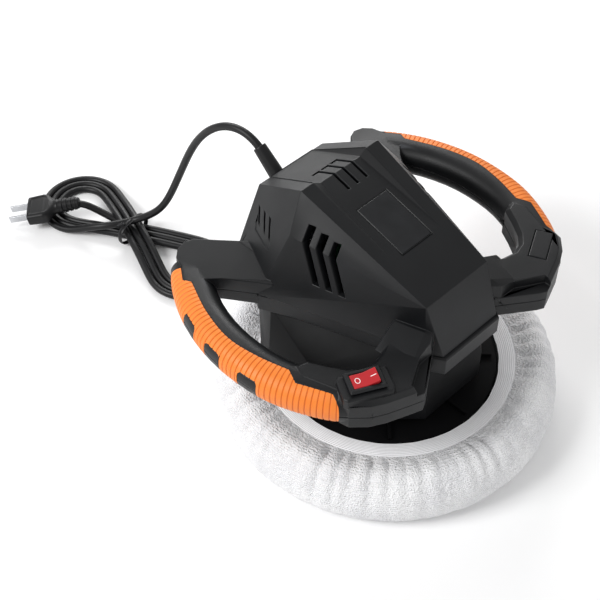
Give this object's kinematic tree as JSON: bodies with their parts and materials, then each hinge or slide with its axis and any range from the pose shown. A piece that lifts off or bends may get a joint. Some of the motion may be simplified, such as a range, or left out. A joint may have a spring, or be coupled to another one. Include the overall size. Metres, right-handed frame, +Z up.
{
  "type": "two-handed car polisher",
  "caption": "Vented hood over a vertical motor, a C-shaped rubber-gripped handle on each side, and a round foam pad in a terry bonnet on an eccentric.",
  "frame": {"origin": "middle of the bonnet's flat working face, at rest", "axes": "+Z up, along the motor's axis; -Y towards the nose of the hood; +X towards the tool's right handle; the lead leaves at +Y"},
  "size_m": [0.2668, 0.4718, 0.1878],
  "materials": {
    "black_plastic": "fine moulded texture",
    "dark_plastic": "satin moulded",
    "orange_rubber": "ribbed soft over-moulding",
    "red_plastic": "gloss",
    "terry": "looped terry cloth",
    "hem_band": "woven elastic band with rows of stitching",
    "foam": "open-cell foam",
    "steel": "zinc plated",
    "copper": "enamelled copper wire",
    "magnet": "sintered",
    "board": "glass-fibre board",
    "brass": "tinned tab",
    "iron": "as cast",
    "cord": "smooth flexible sheath"
  },
  "bodies": {
    "housing": {"upper_housing": "black_plastic", "lower_housing": "black_plastic", "switch_bezel": "black_plastic", "blanking_cover": "black_plastic", "cord_clamp": "black_plastic", "skirt": "dark_plastic", "switch_body": "dark_plastic", "brush_plate": "dark_plastic", "left_grip": "orange_rubber", "right_grip": "orange_rubber", "motor_can": "steel", "motor_bracket": "steel", "lower_bearing": "steel", "upper_bearing": "steel", "plug_pin_1": "steel", "plug_pin_2": "steel", "housing_screw_1": "steel", "housing_screw_2": "steel", "housing_screw_3": "steel", "housing_screw_4": "steel", "skirt_screw_1": "steel", "skirt_screw_2": "steel", "skirt_screw_3": "steel", "skirt_screw_4": "steel", "bracket_screw_1": "steel", "bracket_screw_2": "steel", "bracket_screw_3": "steel", "bracket_screw_4": "steel", "clamp_screw_1": "steel", "clamp_screw_2": "steel", "magnet_1": "magnet", "magnet_2": "magnet", "brush_1": "magnet", "brush_2": "magnet", "bridge_rectifier": "magnet", "rectifier_board": "board", "switch_terminal_1": "brass", "switch_terminal_2": "brass", "strain_relief": "cord", "cord_lead": "cord", "cord": "cord", "cord_hank": "cord", "cord_tie": "cord", "cord_tail": "cord", "plug_body": "cord"},
    "rotor": {"motor_shaft": "steel", "armature": "steel", "winding_upper": "copper", "winding_lower": "copper", "commutator": "copper", "cooling_fan": "black_plastic", "counterweight": "iron", "pad_bolt": "steel", "pad_washer": "steel"},
    "pad": {"pad_bearing": "steel", "backing_plate": "black_plastic", "foam_pad": "foam", "bonnet": "terry", "bonnet_hem": "hem_band"},
    "switch": {"switch_rocker": "red_plastic"}
  },
  "joints": [
    {"name": "motor_spin", "type": "hinge", "parent": "housing", "child": "rotor", "pos_m": [0, 0.005, 0], "axis": [0, 0, 1], "continuous": true},
    {"name": "pad_spin", "type": "hinge", "parent": "rotor", "child": "pad", "pos_m": [0, 0, 0], "axis": [0, 0, 1], "continuous": true},
    {"name": "rocker_switch", "type": "hinge", "parent": "housing", "child": "switch", "pos_m": [-0.0865, -0.0565, 0.1357], "axis": [0.454, 0.891, 0], "range_deg": [0, 20]}
  ]
}
